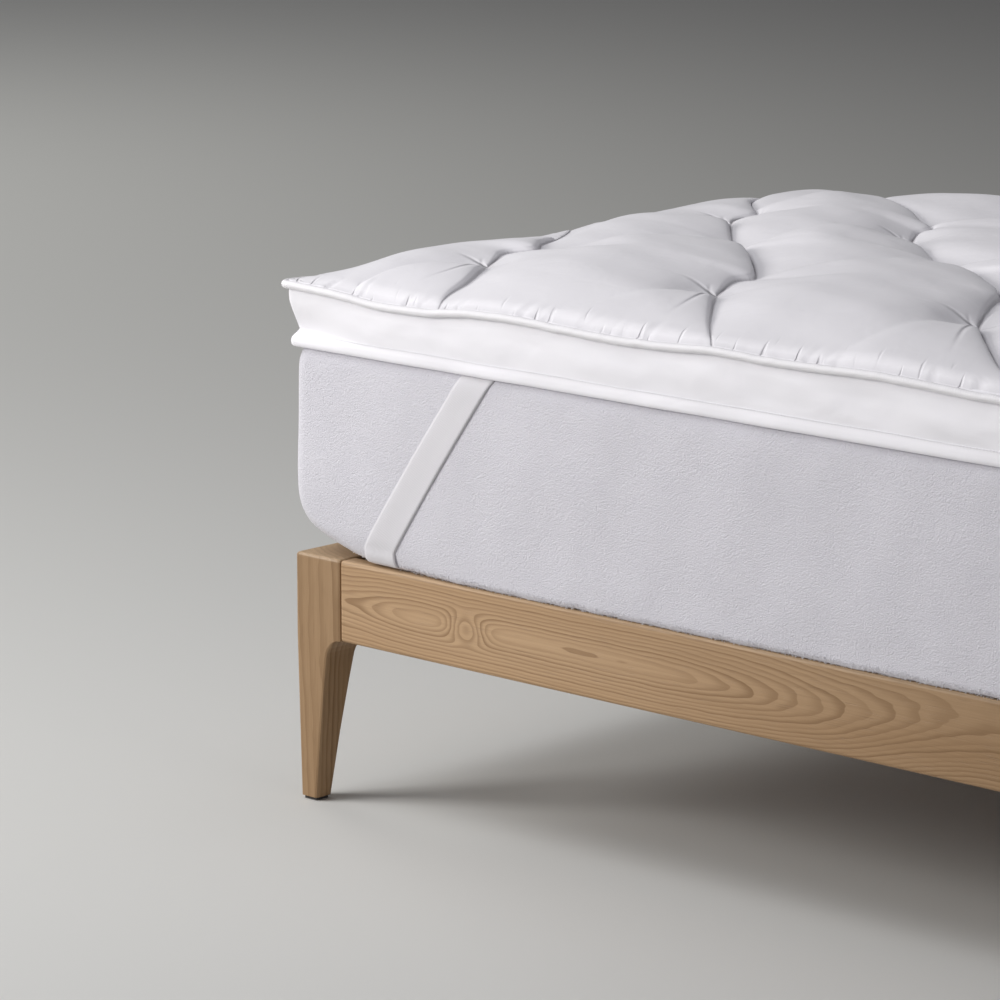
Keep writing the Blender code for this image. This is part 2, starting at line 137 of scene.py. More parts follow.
# creases that run out from a tuft: the way they go, how they bend, and their length
TUFT_CREASES = ((-0.90, 0.44, 3.0, 0.085), (-0.71, 0.70, -3.0, 0.095),
                (0.40, -0.92, -2.5, 0.100), (0.13, -0.99, 5.0, 0.050),
                (-0.95, 0.30, -6.0, 0.050))

END_SHOULDER = 0.165         # reach of the round shoulders at the ends and the two sides
FRONT_SHOULDER = 0.15
BACK_SHOULDER = 0.055
END_ROUND = 1.2              # 1 is a straight slope, and more is rounder
SIDE_ROUND = 1.4
CORNER_SHORTENS = 0.40       # share of the shoulders' reach that is lost at the front corners
CORNER_SHOULDER = 0.2        # and how far from a corner
SHOULDER_SOFT = 0.05         # how softly the shoulders run out into the top
LIP_REACH = 0.013            # the quick round lip beside the piping
SHOULDER_LIP = 0.20

STRAP_WIDTH = 0.050          # measured level; square to its slant the band is 0.041 wide
STRAP_THICK = 0.0010
STRAP_THINNED = 0.65         # share of it that is lost at the edge beside the corner
STRAP_TOP = 0.2950           # the band's distance from the corner at its top and foot
STRAP_FOOT = 0.1250
STRAP_TURN = 0.020           # the band leaves the side this far above the mattress's foot
STRAP_STAND = 0.0006         # its middle stands this far off the cover
STRAP_LIFT = 0.0004          # and this much farther at the edge away from the corner
ELASTIC_RIB = 0.0017
ELASTIC_PICK = 0.0011
CORD_RIB = 0.0032            # ribs of the bias cloth over the cord

PAINTED_FALLOFF_SHADE = 0.40             # share of painted shade that a board gains along its run, for the light's falloff
KNOT_LONG = 0.028            # reach of a knot along the board, and up it
KNOT_HIGH = 0.016
KNOT_RINGS = 5.6             # rings that a knot adds at its middle


# ---------------------------------------------------------------- curves and waves
def smooth_step(value):
    """0 below 0, 1 above 1, and a soft S between them."""
    value = np.clip(value, 0.0, 1.0)
    return value * value * (3 - 2 * value)


def bell(value):
    """1 at zero, falling away on both sides: e to the power of minus the square."""
    return np.exp(-value * value)


def ripples(x, y, size, seed):
    """Irregular soft waves, about -1 to 1: sines in seeded directions and lengths, added."""
    chance = np.random.default_rng(seed)
    total = 0.0
    for _ in range(7):
        turn, phase = chance.uniform(0, 2 * math.pi, 2)
        length = size * chance.uniform(0.6, 1.7)
        total = total + np.sin(2 * math.pi * (x * math.cos(turn) + y * math.sin(turn)) / length
                               + phase)
    return total / 3.2


# ---------------------------------------------------------------- making pieces
def put(name, data):
    """New object in the scene."""
    thing = bpy.data.objects.new(name, data)
    bpy.context.scene.collection.objects.link(thing)
    return thing


def add_piece(name, points, faces, finish, maps=None):
    """Mesh object at the origin, smooth shaded, riding on the bed."""
    mesh = bpy.data.meshes.new(name)
    mesh.from_pydata(points.reshape(-1, 3).tolist(), [], faces)
    mesh.update()
    mesh.shade_smooth()
    if maps is not None:
        corners = np.empty(len(mesh.loops), dtype=np.int32)
        mesh.loops.foreach_get("vertex_index", corners)
        layer = mesh.uv_layers.new(name="cloth")
        layer.data.foreach_set("uv", maps.reshape(-1, 2)[corners].astype(np.float32).ravel())
    mesh.materials.append(finish)
    piece = put(name, mesh)
    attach(piece, "root")
    return piece


def ring_faces(rows, count, loop=False):
    """Four-cornered faces between rings of count points, rows rings one after another."""
    row = np.arange(rows if loop else rows - 1)[:, None]
    step = np.arange(count)[None, :]
    after = (step + 1) % count
    above = (row + 1) % rows
    corners = (row * count + step, row * count + after, above * count + after,
               above * count + step)
    return np.stack(corners, axis=-1).reshape(-1, 4).tolist()


def closed_faces(rows, count):
    """Faces between rings stacked upward, anticlockwise, and over both their ends."""
    first, last = range(count - 1, -1, -1), range((rows - 1) * count, rows * count)
    return ring_faces(rows, count) + [list(first), list(last)]


def small_bars(centre, size, side, upright, corners):
    """Many small bars: rings of a few corners round centres in a row, closed at the ends.

    centre holds the middles, bar by bar and ring by ring, and size the rings' radii. A ring
    lies in the plane of its bar's two directions. Returns the points and the faces.
    """
    angle = 2 * math.pi * np.arange(corners) / corners
    circle = (np.cos(angle)[None, :, None] * side[:, None]
              + np.sin(angle)[None, :, None] * upright[:, None])
    points = centre[:, :, None] + size[None, :, None, None] * circle[:, None]
    rings = len(size)
    first = rings * corners * np.arange(len(centre))[:, None, None]
    around = np.array(ring_faces(rings, corners))[None, :, ::-1] + first
    ends = np.array((range(corners), range(rings * corners - 1, (rings - 1) * corners - 1, -1)))
    faces = around.reshape(-1, 4).tolist() + (ends[None] + first).reshape(-1, corners).tolist()
    return points, faces


def outline(out, radius, arc, pieces_x, pieces_y):
    """Places round the bed's rectangle grown by out, anticlockwise from its +X side.

    Quarter circles of arc steps, joined by straight runs of equal steps. The two sizes may
    be columns of numbers, one row for each level of a body. Returns x, y and the way out.
    """
    inner_x, inner_y = HALF_LENGTH + out - radius, HALF_WIDTH + out - radius
    signs = ((1, 1), (-1, 1), (-1, -1), (1, -1), (1, 1))
    sides = []
    for turn in range(4):
        (sign_x, sign_y), (next_x, next_y) = signs[turn:turn + 2]
        pieces = pieces_y if turn % 2 else pieces_x
        place = np.arange(arc + pieces)
        angle = math.pi / 2 * (turn + np.minimum(place / arc, 1.0))
        share = np.maximum(place - arc, 0) / pieces
        out_x, out_y = np.cos(angle), np.sin(angle)
        x = sign_x * inner_x + (next_x - sign_x) * inner_x * share + radius * out_x
        y = sign_y * inner_y + (next_y - sign_y) * inner_y * share + radius * out_y
        sides.append((x, y, out_x + 0 * x, out_y + 0 * y))
    return [np.concatenate(parts, axis=-1) for parts in zip(*sides)]


def from_edges(x, y):
    """How far a point lies in from the bed's nearest end and its nearest side."""
    return HALF_LENGTH - np.abs(x), HALF_WIDTH - np.abs(y)


# ---------------------------------------------------------------- materials
class Field:
    """One socket of a material. Arithmetic on it adds the Math nodes that work it out."""

    def __init__(self, finish, socket):
        self.finish = finish
        self.socket = socket

    def __add__(self, other):
        return self.finish.maths("ADD", self, other)

    __radd__ = __add__

    def __sub__(self, other):
        return self.finish.maths("SUBTRACT", self, other)

    def __rsub__(self, other):
        return self.finish.maths("SUBTRACT", other, self)

    def __mul__(self, other):
        return self.finish.maths("MULTIPLY", self, other)

    __rmul__ = __mul__

    def __truediv__(self, other):
        return self.finish.maths("DIVIDE", self, other)

    def __rtruediv__(self, other):
        return self.finish.maths("DIVIDE", other, self)

    def __abs__(self):
        return self.finish.maths("ABSOLUTE", self)

    def sine(self):
        return self.finish.maths("SINE", self)

    def root(self):
        return self.finish.maths("SQRT", self)

    def part(self):
        """What is left of it above a whole number."""
        return self.finish.maths("FRACT", self)

    def bell(self):
        """1 where it is zero, falling away on both sides."""
        return self.finish.maths("POWER", math.e, self * self * -1.0)

    def rise(self, low, high):
        """Soft S from 0 at low to 1 at high."""
        return self.finish.node("ShaderNodeMapRange", {"interpolation_type": "SMOOTHSTEP"},
                                {"Value": self, "From Min": low, "From Max": high})


class Finish:
    """A material, and the nodes that work out how it changes over a surface."""

    def __init__(self, name, colour, roughness, **constants):
        self.material = bpy.data.materials.new(name)
        self.material.use_nodes = True
        self.tree = self.material.node_tree
        self.shader = self.tree.nodes["Principled BSDF"]
        self.shader.inputs["Base Color"].default_value = (*colour, 1.0)
        self.shader.inputs["Roughness"].default_value = roughness
        for socket, value in constants.items():
            self.shader.inputs[socket.replace("_", " ")].default_value = value
        self.material.diffuse_color = (*colour, 1.0)

    def node(self, kind, settings=None, values=None, output=0):
        """Any node: its type, its settings, which are set first, and its sockets' values."""
        made = self.tree.nodes.new(kind)
        for key, value in (settings or {}).items():
            setattr(made, key, value)
        for key, value in (values or {}).items():
            if isinstance(value, Field):
                self.tree.links.new(value.socket, made.inputs[key])
            else:
                made.inputs[key].default_value = value
        return Field(self, made.outputs[output])

    def maths(self, operation, *values):
        """Field that a Math node works out from fields and numbers."""
        return self.node("ShaderNodeMath", {"operation": operation}, dict(enumerate(values)))

    def feed(self, socket, value):
        """Let a field say how one of the shader's sockets changes over the surface."""
        self.tree.links.new(value.socket, self.shader.inputs[socket])

    def tint(self, share, first, second):
        """Give the surface a colour between two colours."""
        self.feed("Base Color", self.blend(share, first, second))

    def emboss(self, height, distance):
        """Give the surface small relief, distance metres deep where the height is 1."""
        self.feed("Normal", self.node("ShaderNodeBump", values={
            "Height": height, "Distance": distance, "Strength": 1.0}))

    def place(self):
        """Object coordinates: metres on the bed."""
        return self.node("ShaderNodeTexCoord", output="Object")

    def cloth(self):
        """The piece's own map."""
        return self.node("ShaderNodeUVMap", {"uv_map": "cloth"})

    def axes(self, vector):
        """The x, y and z of a vector."""
        made = self.node("ShaderNodeSeparateXYZ", values={0: vector})
        outputs = made.socket.node.outputs
        return [Field(self, outputs[k]) for k in range(3)]

    def join(self, x, y, z=0.0):
        return self.node("ShaderNodeCombineXYZ", values={0: x, 1: y, 2: z})

    def stretched(self, vector, scale, offset=(0.0, 0.0, 0.0)):
        """The vector times a scale for each axis, and moved."""
        return self.node("ShaderNodeMapping", values={"Vector": vector, "Scale": scale,
                                                      "Location": offset})

    def noise(self, vector, scale, detail, roughness=0.5, distortion=0.0):
        """Cloudy noise about 0, mostly within -0.5 to 0.5."""
        return self.node("ShaderNodeTexNoise", {"noise_dimensions": "3D"},
                         {"Vector": vector, "Scale": scale, "Detail": detail,
                          "Roughness": roughness, "Distortion": distortion}) - 0.5

    def cells(self, vector, scale):
        """Distance from the nearest of many scattered points."""
        return self.node("ShaderNodeTexVoronoi", {"feature": "F1"},
                         {"Vector": vector, "Scale": scale})

    def blend(self, share, first, second):
        """Colour between two colours, each a tuple or a field."""
        first, second = (colour if isinstance(colour, Field) else (*colour, 1.0)
                         for colour in (first, second))
        return self.node("ShaderNodeMix", {"data_type": "RGBA", "clamp_factor": True},
                         {0: share, 6: first, 7: second}, 2)


def make_quilted_cotton():
    """White cotton of the top: seams and stitches on its pattern map, and small gathers.

    A seam's groove is a bell of the distance from it. The seams of the second direction show
    only where they come near the first. Gathers are ridges of a noise that is long away from
    the edge and short along it, and they die out away from the piping.
    """
    finish = Finish("quilted cotton", (0.84, 0.825, 0.86), 0.6, Sheen_Weight=0.15,
                    Sheen_Roughness=0.4)
    x, y, _ = finish.axes(finish.place())
    column, row, _ = finish.axes(finish.cloth())
    first = abs(((column + row) * (math.pi / 2)).sine())
    second = abs(((column - row) * (math.pi / 2)).sine())
    groove = (first * (SEAM_PITCH / SEAM_GROOVE)).bell()
    across = (second * (SEAM_PITCH / CROSS_GROOVE)).bell() * (1 - first.rise(0.05, 0.55))
    stitch = (row * (2 * math.pi * STEP_Y / STITCH_PITCH)).sine().rise(-0.3, 0.5)
    from_side, from_end = HALF_WIDTH + 0.005 - abs(y), HALF_LENGTH + 0.005 - abs(x)
    by_side = finish.join((x + from_side * 0.35) * 105.0, y * 16.0)
    by_end = finish.join(x * 16.0, (y + from_end * 0.35) * 105.0)
    gathers = (finish.noise(by_side, 1.0, 1.0).rise(0.09, 0.24) * (from_side / 0.018).bell()
               + finish.noise(by_end, 1.0, 1.0).rise(0.09, 0.24) * (from_end / 0.018).bell())
    soft = finish.noise(finish.place(), 24.0, 2.0, 0.5, 0.4)
    fine = finish.noise(finish.place(), 900.0, 1.0)
    sewn = groove + across * 0.7
    drawn = tuft_creases(column, row)
    height = (soft * 0.25 - gathers * 0.42 + fine * 0.012 - sewn * (0.35 - stitch * 0.1)
              - drawn * 0.4)
    # painted shade: darker colour in the seams' grooves, the gathers and the tufts' creases,
    # where shade falls
    painted_crease_shade = sewn * 0.32 + gathers * 0.05 + drawn * 0.2
    finish.tint(painted_crease_shade, (0.84, 0.825, 0.86), (0.36, 0.34, 0.37))
    finish.emboss(height, 0.004)
    return finish.material


def tuft_creases(column, row):
    """Creases that run out from every tuft, in the rows of tufts on whole pairs.

    Places are metres from the nearest crossing of the seams. A crease is a bell of the
    distance from its curved line, and fades with the distance along it.
    """
    first = ((column + row) * 0.5 + 0.5).part() - 0.5
    second = ((column - row) * 0.5 + 0.5).part() - 0.5
    x, y = (first + second) * STEP_X, (first - second) * STEP_Y
    tufted = 1 - ((row - first + second) * 0.5 + 0.25).part().rise(0.45, 0.55)
    total = 0.0
    for way_x, way_y, bend, reach in TUFT_CREASES:
        along = x * way_x + y * way_y
        aside = y * way_x - x * way_y - along * along * bend
        line = (aside / (along * 0.03 + 0.0015)).bell()
        total = line * along.rise(0.0, 0.006) * (1 - along.rise(reach * 0.3, reach)) + total
    return total * tufted


def make_gusset_cotton():
    """White cotton of the sides and hem, softly creased."""
    finish = Finish("gusset cotton", (0.925, 0.912, 0.955), 0.65, Sheen_Weight=0.15,
                    Sheen_Roughness=0.45)
    place = finish.place()
    wrinkle = finish.noise(finish.stretched(place, (14.0, 14.0, 22.0)), 1.0, 2.0, 0.5, 0.8)
    fine = finish.noise(place, 900.0, 1.0)
    finish.emboss(wrinkle * 0.35 + fine * 0.02, 0.004)
    finish.tint(wrinkle + 0.5, (0.905, 0.893, 0.938), (0.94, 0.927, 0.965))
    return finish.material


def make_piping_cotton():
    """The same cotton cut on the bias over a cord: fine slanting ribs along its map."""
    finish = Finish("piping cotton", (0.855, 0.84, 0.87), 0.6, Sheen_Weight=0.15,
                    Sheen_Roughness=0.45)
    along, around, _ = finish.axes(finish.cloth())
    ribs = (along * (2 * math.pi / CORD_RIB) + around * 9.0).sine()
    puckers = finish.noise(finish.join(along * 60.0, around * 1.5), 1.0, 2.0)
    finish.emboss(ribs * 0.05 + puckers * 0.5, 0.0018)
    finish.tint(puckers + 0.5, (0.84, 0.825, 0.855), (0.875, 0.86, 0.885))
    return finish.material


def make_elastic():
    """Woven elastic: fine ribs along the band, picks across it."""
    finish = Finish("woven elastic", (0.725, 0.71, 0.745), 0.7, Sheen_Weight=0.2)
    across, along, _ = finish.axes(finish.cloth())
    ribs = (across * (2 * math.pi / ELASTIC_RIB)).sine()
    picks = (along * (2 * math.pi / ELASTIC_PICK)).sine()
    cloud = finish.noise(finish.join(across * 40.0, along * 8.0), 1.0, 2.0)
    finish.emboss(ribs * 0.35 + picks * 0.15, 0.0003)
    finish.tint(cloud + 0.5, (0.71, 0.695, 0.73), (0.74, 0.725, 0.755))
    return finish.material


def make_terry():
    """Short looped pile: fine uneven loops, a few brighter tufts and a soft mottling.

    The last three centimetres under the topper's hem carry a painted shadow.
    """
    finish = Finish("terry cloth", (0.72, 0.705, 0.76), 0.95, Sheen_Weight=0.3,
                    Sheen_Roughness=0.6)
    place = finish.place()
    loops = finish.cells(place, 760.0)
    tufts = finish.noise(place, 450.0, 3.0, 0.62)
    mottle = finish.noise(place, 30.0, 4.0, 0.65)
    colour = finish.blend(mottle * 1.4 + 0.5, (0.70, 0.685, 0.745), (0.745, 0.73, 0.785))
    colour = finish.blend(tufts.rise(0.10, 0.32) * 0.6, colour, (0.83, 0.82, 0.86))
    # painted shadow: the cover darkens towards the topper's hem, as if in its shade
    painted_hem_shadow = finish.axes(place)[2].rise(TOPPER_BOTTOM - 0.030, TOPPER_BOTTOM) * 0.16
    finish.tint(painted_hem_shadow, colour, (0.30, 0.29, 0.33))
    finish.emboss(tufts * 1.3 - loops * 0.4 + mottle * 0.5, 0.0013)
    return finish.material


def make_pile_painted_lighter():
    """The ends of the terry's loops, in the terry's colour painted lighter: a painted highlight.
    """
    # painted highlight: a lighter copy of the terry's colour
    return Finish("terry pile painted lighter", (0.84, 0.82, 0.86), 0.95, Sheen_Weight=0.4,
                  Sheen_Roughness=0.6).material


def make_ash(name, along, pith, leaves, spacing, seed, knot=None):
    """Ash wood cut from a trunk that runs along one axis.

    Growth rings are the distance from the pith, a line beside the board. The line leaves the
    board in soft S curves, so the rings run out on its face as pointed arches. Each ring
    darkens slowly and ends at once. A knot is a small hill of rings of its own.
    """
    finish = Finish(name, (0.42, 0.27, 0.15), 0.48, Specular_IOR_Level=0.35)
    place = finish.place()
    axes = finish.axes(place)
    run = axes[along]
    others = [axes[k] for k in range(3) if k != along]
    beside = abs(others[0]) - pith[0]
    above = abs(others[1]) - pith[1]
    for start, end, leave_beside, leave_above in leaves:
        share = run.rise(start, end)
        beside = beside - share * leave_beside
        above = above - share * leave_above

    def grain(slow, quick, detail, roughness=0.5, offset=(0.0, 0.0, 0.0)):
        """Noise that changes slowly along the wood and quickly across it."""
        scale = [slow if k == along else quick for k in range(3)]
        return finish.noise(finish.stretched(place, scale, offset), 1.0, detail, roughness)

    moved = (seed, seed, seed)
    rings = ((beside * beside + above * above).root() / spacing
             + grain(3.5, 26.0, 2.0, offset=moved) * 1.7
             + grain(26.0, 95.0, 1.0, offset=moved) * 0.55)
    if knot is not None:
        knot_run, knot_up = knot
        aside = (run - knot_run) / KNOT_LONG
        upward = (others[1] - knot_up) / KNOT_HIGH
        rings = rings + (aside * aside + upward * upward).root().bell() * KNOT_RINGS
    ring = rings.part()
    strength = finish.noise(finish.join(rings - ring, seed), 0.83, 0.0) * 1.5 + 0.62
    late = ring.rise(0.25, 0.93) * (1 - ring.rise(0.94, 1.0)) * strength
    fibres = grain(7.0, 420.0, 2.0, 0.6)
    pores = grain(26.0, 900.0, 1.0).rise(0.12, 0.3)
    broad = grain(1.6, 14.0, 1.0)
    pale = finish.blend(broad * 1.4 + 0.5, (0.435, 0.268, 0.138), (0.545, 0.365, 0.212))
    tone = finish.blend(late * 0.85, pale, (0.235, 0.130, 0.057))
    tone = finish.blend(fibres * 0.8 + 0.12, tone, (0.30, 0.18, 0.09))
    tone = finish.blend(pores * (0.2 + late * 0.25), tone, (0.21, 0.12, 0.06))
    # painted shade: the board darkens along its run towards its + end
    tone = finish.blend(run.rise(-0.75, 0.15) * PAINTED_FALLOFF_SHADE, tone, (0.16, 0.090, 0.035))
    # painted highlight: the wood turns pale towards the rails' rounded top edges, from 0.2925 m
    # up
    painted_edge_highlight = axes[2].rise(0.2925, 0.2995) * 0.35
    finish.tint(painted_edge_highlight, tone, (0.68, 0.53, 0.36))
    finish.feed("Roughness", 0.46 + fibres * 0.15 + pores * 0.1)
    finish.emboss(fibres * 0.35 - pores * 0.5 - late * 0.15, 0.0004)
    return finish.material


def make_felt():
    """Dark pressed felt of the foot pads, with fine hairs."""
    finish = Finish("dark felt", (0.035, 0.03, 0.028), 0.95, Sheen_Weight=0.3)
    place = finish.place()
    hairs = finish.noise(place, 900.0, 3.0, 0.7)
    finish.tint(hairs + 0.5, (0.02, 0.018, 0.016), (0.07, 0.06, 0.055))
    finish.emboss(hairs, 0.0006)
    return finish.material


def make_floor():
    """Plain pale floor, with painted shade: darker away from the light."""
    finish = Finish("pale floor", (0.5, 0.5, 0.49), 0.75, Specular_IOR_Level=0.15)
    x, y, _ = finish.axes(finish.place())
    # painted shade: the floor darkens away from the light
    away = (x * 0.55 + y * 0.75).rise(-1.8, 6.0)
    finish.tint(away, (0.66, 0.66, 0.64), (0.30, 0.29, 0.277))
    return finish.material


# ---------------------------------------------------------------- quilted top
# for each seam that runs up the picture: rows of the pattern, and how far the seam drifted
SEAM_SHIFT = (
    ((-1.0, 0.45), (5.0, 0.45)),
    ((-0.75, -0.24), (-0.5, -0.16), (-0.25, 0.0), (0.0, 0.10), (0.24, 0.175), (0.36, 0.205),
     (0.43, 0.27), (0.48, 0.40), (0.53, 0.50), (0.60, 0.50), (0.76, 0.47), (0.96, 0.44),
     (1.14, 0.40), (1.30, 0.34), (1.50, 0.28), (2.3, 0.20), (5.0, 0.20)),
    ((-0.75, 0.07), (-0.36, 0.035), (-0.06, 0.04), (0.17, 0.07), (0.28, 0.11), (0.43, 0.18),
     (0.51, 0.25), (0.55, 0.33), (0.59, 0.37), (0.95, 0.34), (1.24, 0.28), (1.37, 0.24),
     (1.46, 0.165), (1.80, 0.12), (1.98, 0.11), (2.19, 0.14), (2.28, 0.22), (2.33, 0.30),
     (2.38, 0.345), (2.53, 0.30), (2.73, 0.21), (3.0, 0.06), (3.3, -0.05), (3.7, -0.12)),
    ((-0.64, 0.50), (-0.39, 0.24), (-0.20, 0.18), (0.01, 0.14), (0.29, 0.13), (0.40, 0.15),
     (0.63, 0.22), (0.81, 0.29), (0.88, 0.33), (1.01, 0.33), (1.19, 0.26), (1.37, 0.18),
     (1.50, 0.09), (1.55, -0.05), (1.70, -0.15), (1.90, -0.24), (2.04, -0.31), (2.22, -0.30),
     (2.40, -0.25), (2.46, -0.16), (2.51, -0.12), (2.58, -0.19), (2.80, -0.27), (2.95, -0.36),
     (3.10, -0.47), (3.26, -0.57), (3.41, -0.60)),
    ((-0.75, 0.07), (-0.06, 0.05), (0.25, 0.10), (0.55, 0.19), (0.70, 0.34), (1.0, 0.32),
     (1.4, 0.20), (2.0, 0.12), (2.25, 0.18), (2.40, 0.32), (2.7, 0.26), (3.2, 0.20)))
# the same for how far each crossing moved along its seam
CROSSING_LIFT = (
    ((0, 0.06), (1, 0.20), (2, 0.10), (3, 0.20)), ((0, 0.06), (1, 0.22), (2, 0.10), (3, 0.20)),
    ((0, 0.16), (1, 0.38), (2, 0.10), (3, 0.18)), ((0, 0.29), (1, 0.55), (2, 0.15), (3, 0.20)),
    ((0, 0.10), (1, 0.20), (2, 0.10), (3, 0.15)))


def through(knots, place):
    """Smooth cubics through pairs of place and value, level at every peak."""
    places, values = np.array(knots, dtype=float).T
    rise = np.diff(values) / np.diff(places)
    both = rise[1:] * rise[:-1]
    slopes = np.where(both > 0, 2 * both / np.where(both > 0, rise[1:] + rise[:-1], 1.0), 0.0)
    slopes = np.concatenate(([0.0], slopes, [0.0]))
    low = np.clip(np.searchsorted(places, place) - 1, 0, len(places) - 2)
    gap = places[low + 1] - places[low]
    t = np.clip((place - places[low]) / gap, 0.0, 1.0)
    return ((1 + 2 * t) * (1 - t) ** 2 * values[low] + t * (1 - t) ** 2 * gap * slopes[low]
            + t * t * (3 - 2 * t) * values[low + 1] + t * t * (t - 1) * gap * slopes[low + 1])


def eased(values, place):
    """The same through values at whole numbers."""
    return through(np.stack((np.arange(len(values)), values), axis=-1), place)


def between_seams(tables, seam, place):
    """A table's value for each seam, at its place, blended between neighbouring seams."""
    total = 0.0
    nearest = np.clip(seam / 2 + 1, 0.0, len(tables) - 1)
    for number, knots in enumerate(tables):
        total = total + smooth_step(1 - np.abs(nearest - number)) * through(knots, place)
    return total


def pattern_place(column, row):
    """Where a point of the quilting lies on the bed: x and y in metres.

    Its even place, moved along the row by what the sewing drifted at that seam, and across it
    by what the crossing was lifted. The last part of a row at each end is stretched or
    squeezed until the row ends at the topper's edge.
    """
    seam = column + row
    near = smooth_step((row - ROW_LOW) / 0.6) * smooth_step((ROW_HIGH - row) / 0.6)
    lift = between_seams(CROSSING_LIFT, seam, row) * near
    shift = between_seams(SEAM_SHIFT, seam, row + lift) - lift
    x = NODE_X + STEP_X * (column + shift)
    y = NODE_Y + STEP_Y * (row + lift)
    edge = HALF_LENGTH + RIM_OUT
    left = smooth_step(1 - (column - COLUMN_LOW) / 1.2)
    right = smooth_step(1 - (COLUMN_HIGH - column) / 1.2)
    return x - (x[:, :1] + edge) * left + (edge - x[:, -1:]) * right, y


def edge_height(x, y):
    """Height of the piping's centre line beside a point: it waves, and corners stand up."""
    to_end, to_side = from_edges(x, y)
    across = eased(PIPING_WAVE, np.mod((x + HALF_LENGTH) / WAVE_STEP, 14.0))
    along = eased(PIPING_WAVE, np.mod((y + HALF_WIDTH) / WAVE_STEP + 2.0, 14.0))
    fade_x, fade_y = smooth_step(to_end / WAVE_FADE), smooth_step(to_side / WAVE_FADE)
    wave = across * fade_x * (1 - fade_y) + along * fade_y * (1 - fade_x)
    nearness = np.exp(-(to_end * to_end + to_side * to_side) / CORNER_REACH ** 2)
    return PIPING_Z + wave + CORNER_LIFT * nearness


def shoulder_profile(inward, reach, power):
    """0 at an edge: a quick round lip, then a slow rise that eases into 1."""
    lip = 1 - np.clip(inward / LIP_REACH, 0.0, 1.0)
    rest = 1 - np.maximum(inward, 0.0) / reach
    soft = (rest + np.sqrt(rest * rest + SHOULDER_SOFT)) / (1 + math.sqrt(1 + SHOULDER_SOFT))
    slow = 1 - soft ** power
    return SHOULDER_LIP * np.sqrt(1 - lip * lip) + (1 - SHOULDER_LIP) * slow


def shoulder(x, y):
    """0 at the topper's edge and 1 where its rounded shoulders end: sooner at front corners."""
    to_end, to_side = from_edges(x, y)
    near = bell(np.hypot(to_end, to_side) / CORNER_SHOULDER) * (y < 0)
    shorter = 1 - CORNER_SHORTENS * near
    reach = np.where(y < 0, FRONT_SHOULDER, BACK_SHOULDER)
    return (shoulder_profile(to_end, END_SHOULDER * shorter, END_ROUND)
            * shoulder_profile(to_side, reach * shorter, SIDE_ROUND))


def corner_drawn(x, y, out):
    """Points of a rectangle with its corners drawn in to quarter circles.

    Within a corner's square a point keeps its share of the way from the corner's centre to
    the edge, along a ray, so that the square's edge becomes a quarter circle.
    """
    radius = out + TOPPER_CORNER - PIPING_OVERHANG
    side_x = np.maximum(np.abs(x) - (HALF_LENGTH + out - radius), 0.0)
    side_y = np.maximum(np.abs(y) - (HALF_WIDTH + out - radius), 0.0)
    length = np.hypot(side_x, side_y)
    share = np.where(length > 0, np.maximum(side_x, side_y) / np.maximum(length, 1e-12), 1.0)
    new_x = np.sign(x) * (np.abs(x) - side_x * (1 - share))
    new_y = np.sign(y) * (np.abs(y) - side_y * (1 - share))
    return new_x, new_y


def edge_gathers(x, y):
    """Short creases that run in from the cord, at seeded places round the edge."""
    chance = np.random.default_rng(5)
    height = np.zeros_like(x)
    to_end, to_side = from_edges(x, y)
    for sign in (-1, 1):
        for run, inward, side, reach, count in ((x, to_side, y, 0.97, SIDE_GATHERS),
                                                (y, to_end, x, 0.42, END_GATHERS)):
            drift = chance.uniform(-GATHER_DRIFT, GATHER_DRIFT, count)
            here = (side * sign > 0) & (inward < GATHER_ZONE)
            places = np.linspace(-reach, reach, count) + drift
            height += gather_row(run, inward, here, places, chance)
    return height


def gather_row(run, inward, where, places, chance):
    """Creases at places along one edge: a narrow bell across each, with a low ridge beside it.

    They lean a little and fade with the distance from the edge, as a bell.
    """
    height = np.zeros_like(run)
    run, inward = run[where], inward[where]
    total = np.zeros_like(run)
    for place in places:
        length, width = chance.uniform(0.006, 0.018), chance.uniform(0.0027, 0.0050)
        depth, lean = GATHER_DEPTH * chance.random() ** 1.6, chance.uniform(-0.1, 0.5)
        across = (run - place - lean * inward) / width
        total -= depth * (bell(across) - 0.45 * bell(across + 1.7)) * bell(inward / length)
    height[where] = total
    return height


